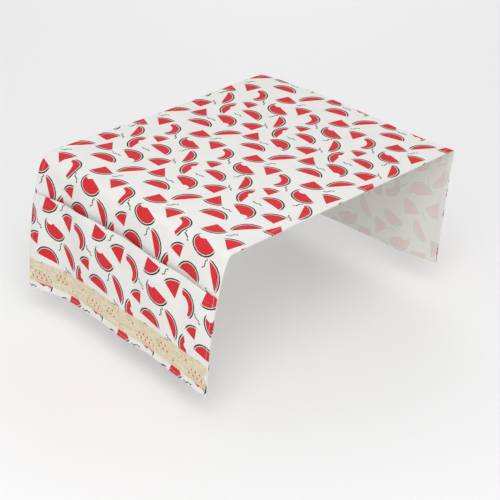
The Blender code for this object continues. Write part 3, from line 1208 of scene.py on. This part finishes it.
def finish_thread(name, light, darker_colour, deep, roughness):
    """Make a twisted cotton thread, with painted shade in the grooves of its twist."""
    material, wire, shader = new_finish(name, roughness)
    flat = cloth_flat(wire)
    split = wire.split(flat)
    slant = wire.math("ADD", split["X"], split["Y"])
    twist = wire.math("SINE", wire.math("MULTIPLY", slant, 2 * math.pi / TWIST_PITCH))
    height = wire.math("MULTIPLY_ADD", twist, 0.5, 0.5)
    place = wire.node("ShaderNodeNewGeometry").outputs["Position"]
    broad = wire.noise(place, DYE_PATCH_SCALE, 3.0)
    fine = wire.noise(place, FIBRE_SCALE, 2.0)
    colour = wire.mix(wire.ramp(broad, 0.35, 0.70), light, darker_colour)
    colour = wire.mix(wire.math("MULTIPLY", wire.ramp(fine, 0.50, 0.72), 0.5), colour, darker_colour)
    # Painted shade: the colour darkens where the twist's height is low, in its grooves.
    colour = wire.mix(wire.ramp(height, 0.40, 0.0, 0.0, 0.40), colour, deep)
    wire.plug(shader.inputs["Base Color"], colour)
    wire.plug(shader.inputs["Roughness"], wire.ramp(fine, 0.3, 0.7, roughness - 0.08, roughness + 0.06))
    relief = wire.math("MULTIPLY_ADD", fine, 0.5, height)
    soften(wire, shader, relief, TWIST_DEPTH, TWIST_STRENGTH)
    return material


LACE_COTTON = finish_thread("cream_lace_cotton", LACE_CREAM, LACE_STRAW, LACE_TWIST_SHADE, 0.80)
SEWING_THREAD = finish_thread("white_sewing_thread", SEWING_WHITE, SEWING_WHITE, SEWING_SHADE, 0.62)

lace_bands = {}
for side in (LEFT, RIGHT):
    band = add_object(SIDE_NAMES[side] + "_lace_band", crochet_band(side))
    band.data.materials.append(LACE_COTTON)
    lace_bands[side] = band
    print(band.name, len(band.data.polygons), "faces")

# %% [markdown]
# ## Stitches along the seams
#
# A machine stitch is a short thread that dips into the cloth at both ends. The hems and the
# pocket's seams carry one every three millimetres. Each stitch could be an instance on a curve.
# Here it is a small stretched sphere, sunk halfway into its seam and joined with the others, so
# that the whole row is one piece.

# %% Rows of stitches
STITCH_PITCH = 0.0030
STITCH_HALF_LENGTH = 0.00118
STITCH_HALF_WIDTH = 0.00027
STITCH_HALF_HEIGHT = 0.00022
STITCH_AROUND = 6
STITCH_RINGS = 4


def sew(mesh, flat_layer, seam, length):
    """Sew stitches along a seam, which gives a point and an outward direction at a distance."""
    stitches = int(length / STITCH_PITCH)
    for stitch in range(stitches):
        middle = (stitch + 0.5) * length / stitches
        before, out = seam(middle - STITCH_HALF_LENGTH)
        after, out = seam(middle + STITCH_HALF_LENGTH)
        run = (after - before).normalized()
        sideways = out.cross(run).normalized()
        out = run.cross(sideways)
        axes = Matrix((run * STITCH_HALF_LENGTH, sideways * STITCH_HALF_WIDTH,
                       out * STITCH_HALF_HEIGHT)).transposed().to_4x4()
        place = Matrix.Translation((before + after) / 2) @ axes @ Matrix.Rotation(math.pi / 2, 4, "Y")
        made = bmesh.ops.create_uvsphere(mesh, u_segments=STITCH_AROUND, v_segments=STITCH_RINGS,
                                         radius=1.0, matrix=place)
        for vertex in made["verts"]:
            for loop in vertex.link_loops:
                off = vertex.co - before
                loop[flat_layer].uv = (middle + off.dot(run), off.dot(sideways))


def finish_stitches(name, mesh):
    """Turn the sewn stitches into one piece."""
    for face in mesh.faces:
        face.smooth = True
    data = mesh_from(mesh, name)
    data.materials.append(SEWING_THREAD)
    print(name, len(data.polygons), "faces")
    return add_object(name, data)


def strip_seam(across, face):
    """A seam along one long hem of the strip, on its printed face or on its back."""
    lift = CLOTH_THICKNESS / 2 if face > 0 else -HEM_THICKNESS + CLOTH_THICKNESS / 2
    start = -drop_distance(MOUTH_BELOW_TOP, across, LEFT)

    def seam(distance):
        along = start + distance
        return strip_surface(along, across, lift), outward(along, across) * face

    return seam, drop_distance(MOUTH_BELOW_TOP, across, RIGHT) - start


def pocket_seams(side):
    """The four seams of one pocket: mouth, foot and both sides, with their lengths."""
    lift = CLOTH_THICKNESS / 2

    def level_seam(below_at):
        def seam(distance):
            across = min(max(distance, 0.0), CLOTH_WIDTH)
            below_top = below_at(across)
            along = side * drop_distance(below_top, across, side)
            return pocket_surface(side, below_top, across, lift), outward(along, across)
        return seam

    def upright_seam(across):
        def seam(distance):
            below_top = min(mouth_below_top(across) + distance, DROP)
            along = side * drop_distance(below_top, across, side)
            return pocket_surface(side, below_top, across, lift), outward(along, across)
        return seam

    side_length = DROP - mouth_below_top(0.0)
    return (
        (level_seam(lambda across: mouth_below_top(across) + MOUTH_SEAM), CLOTH_WIDTH),
        (level_seam(lambda across: DROP - SIDE_SEAM), CLOTH_WIDTH),
        (upright_seam(SIDE_SEAM), side_length),
        (upright_seam(CLOTH_WIDTH - SIDE_SEAM), side_length),
    )


def sew_strip():
    """Sew both long hems of the strip, on both faces."""
    mesh = bmesh.new()
    flat_layer = mesh.loops.layers.uv.new("flat_metres")
    for across in (HEM_SEAM, CLOTH_WIDTH - HEM_SEAM):
        for face in (1, -1):
            sew(mesh, flat_layer, *strip_seam(across, face))
    return finish_stitches("strip_hem_stitches", mesh)


def sew_pocket(side):
    """Sew all four seams of one pocket."""
    mesh = bmesh.new()
    flat_layer = mesh.loops.layers.uv.new("flat_metres")
    for seam, length in pocket_seams(side):
        sew(mesh, flat_layer, seam, length)
    return finish_stitches(SIDE_NAMES[side] + "_pocket_stitches", mesh)


strip_stitches = sew_strip()
pocket_stitches = {side: sew_pocket(side) for side in (LEFT, RIGHT)}

# %% [markdown]
# ## Floor and light
#
# The cover is shown as it hangs, over a plain pale floor, in the soft light of a product picture.
# The light comes from all round, with a large panel above the front left that gives the folds
# their shading, and a second one behind that keeps the far side open. Standard colour is set, so
# that the white of the cloth stays white.

# %% Stage
FLOOR_HEIGHT = -0.2500
FLOOR_SIDE = 30.0
FLOOR_PALE = screen_colour(246, 246, 246)
FLOOR_ROUGHNESS = 0.9
ROOM_LIGHT = 0.62
KEY_WATTS = 26.0
KEY_SIDE = 1.5
KEY_PLACE = (-1.25, -1.05, 1.55)
FILL_WATTS = 9.0
FILL_SIDE = 1.8
FILL_PLACE = (1.5, 1.3, 1.2)


def add_floor():
    """Lay a plain pale floor under the cover."""
    grid = bmesh.new()
    bmesh.ops.create_grid(grid, x_segments=1, y_segments=1, size=FLOOR_SIDE / 2)
    data = mesh_from(grid, "pale_floor")
    material, wire, shader = new_finish("pale_floor_paint", FLOOR_ROUGHNESS)
    shader.inputs["Base Color"].default_value = FLOOR_PALE
    data.materials.append(material)
    floor = add_object("pale_floor", data)
    floor.location.z = FLOOR_HEIGHT
    return floor


def add_panel(name, place, side, watts):
    """Hang a large square lamp that faces the cover."""
    lamp = bpy.data.lights.new(name, "AREA")
    lamp.energy = watts
    lamp.size = side
    panel = add_object(name, lamp)
    panel.location = place
    panel.rotation_mode = "QUATERNION"
    panel.rotation_quaternion = (CAMERA_AIM - Vector(place)).to_track_quat("-Z", "Y")


def light_room():
    """Fill the room with even light."""
    world = bpy.data.worlds.new("soft_room")
    world.use_nodes = True
    background = world.node_tree.nodes["Background"]
    background.inputs["Color"].default_value = (1.0, 1.0, 1.0, 1.0)
    background.inputs["Strength"].default_value = ROOM_LIGHT
    bpy.context.scene.world = world


floor = add_floor()
light_room()
add_panel("key_panel", KEY_PLACE, KEY_SIDE, KEY_WATTS)
add_panel("fill_panel", FILL_PLACE, FILL_SIDE, FILL_WATTS)
bpy.context.scene.view_settings.view_transform = "Standard"
print("floor at", FLOOR_HEIGHT)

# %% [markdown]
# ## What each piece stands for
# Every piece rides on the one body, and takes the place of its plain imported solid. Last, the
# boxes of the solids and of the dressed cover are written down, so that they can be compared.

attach(cover_strip, "root")
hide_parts("cover_cloth")
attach(strip_stitches, "root")

for side, name in SIDE_NAMES.items():
    pocket = pockets[side]
    band = lace_bands[side]
    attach(pocket, "root")
    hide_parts("pocket_" + name)
    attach(pocket_stitches[side], "root")
    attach(band, "root")
    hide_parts("lace_" + name)
print("sheets declared:", 1 + len(pockets) + len(lace_bands))

# %% The end
bpy.context.view_layer.update()
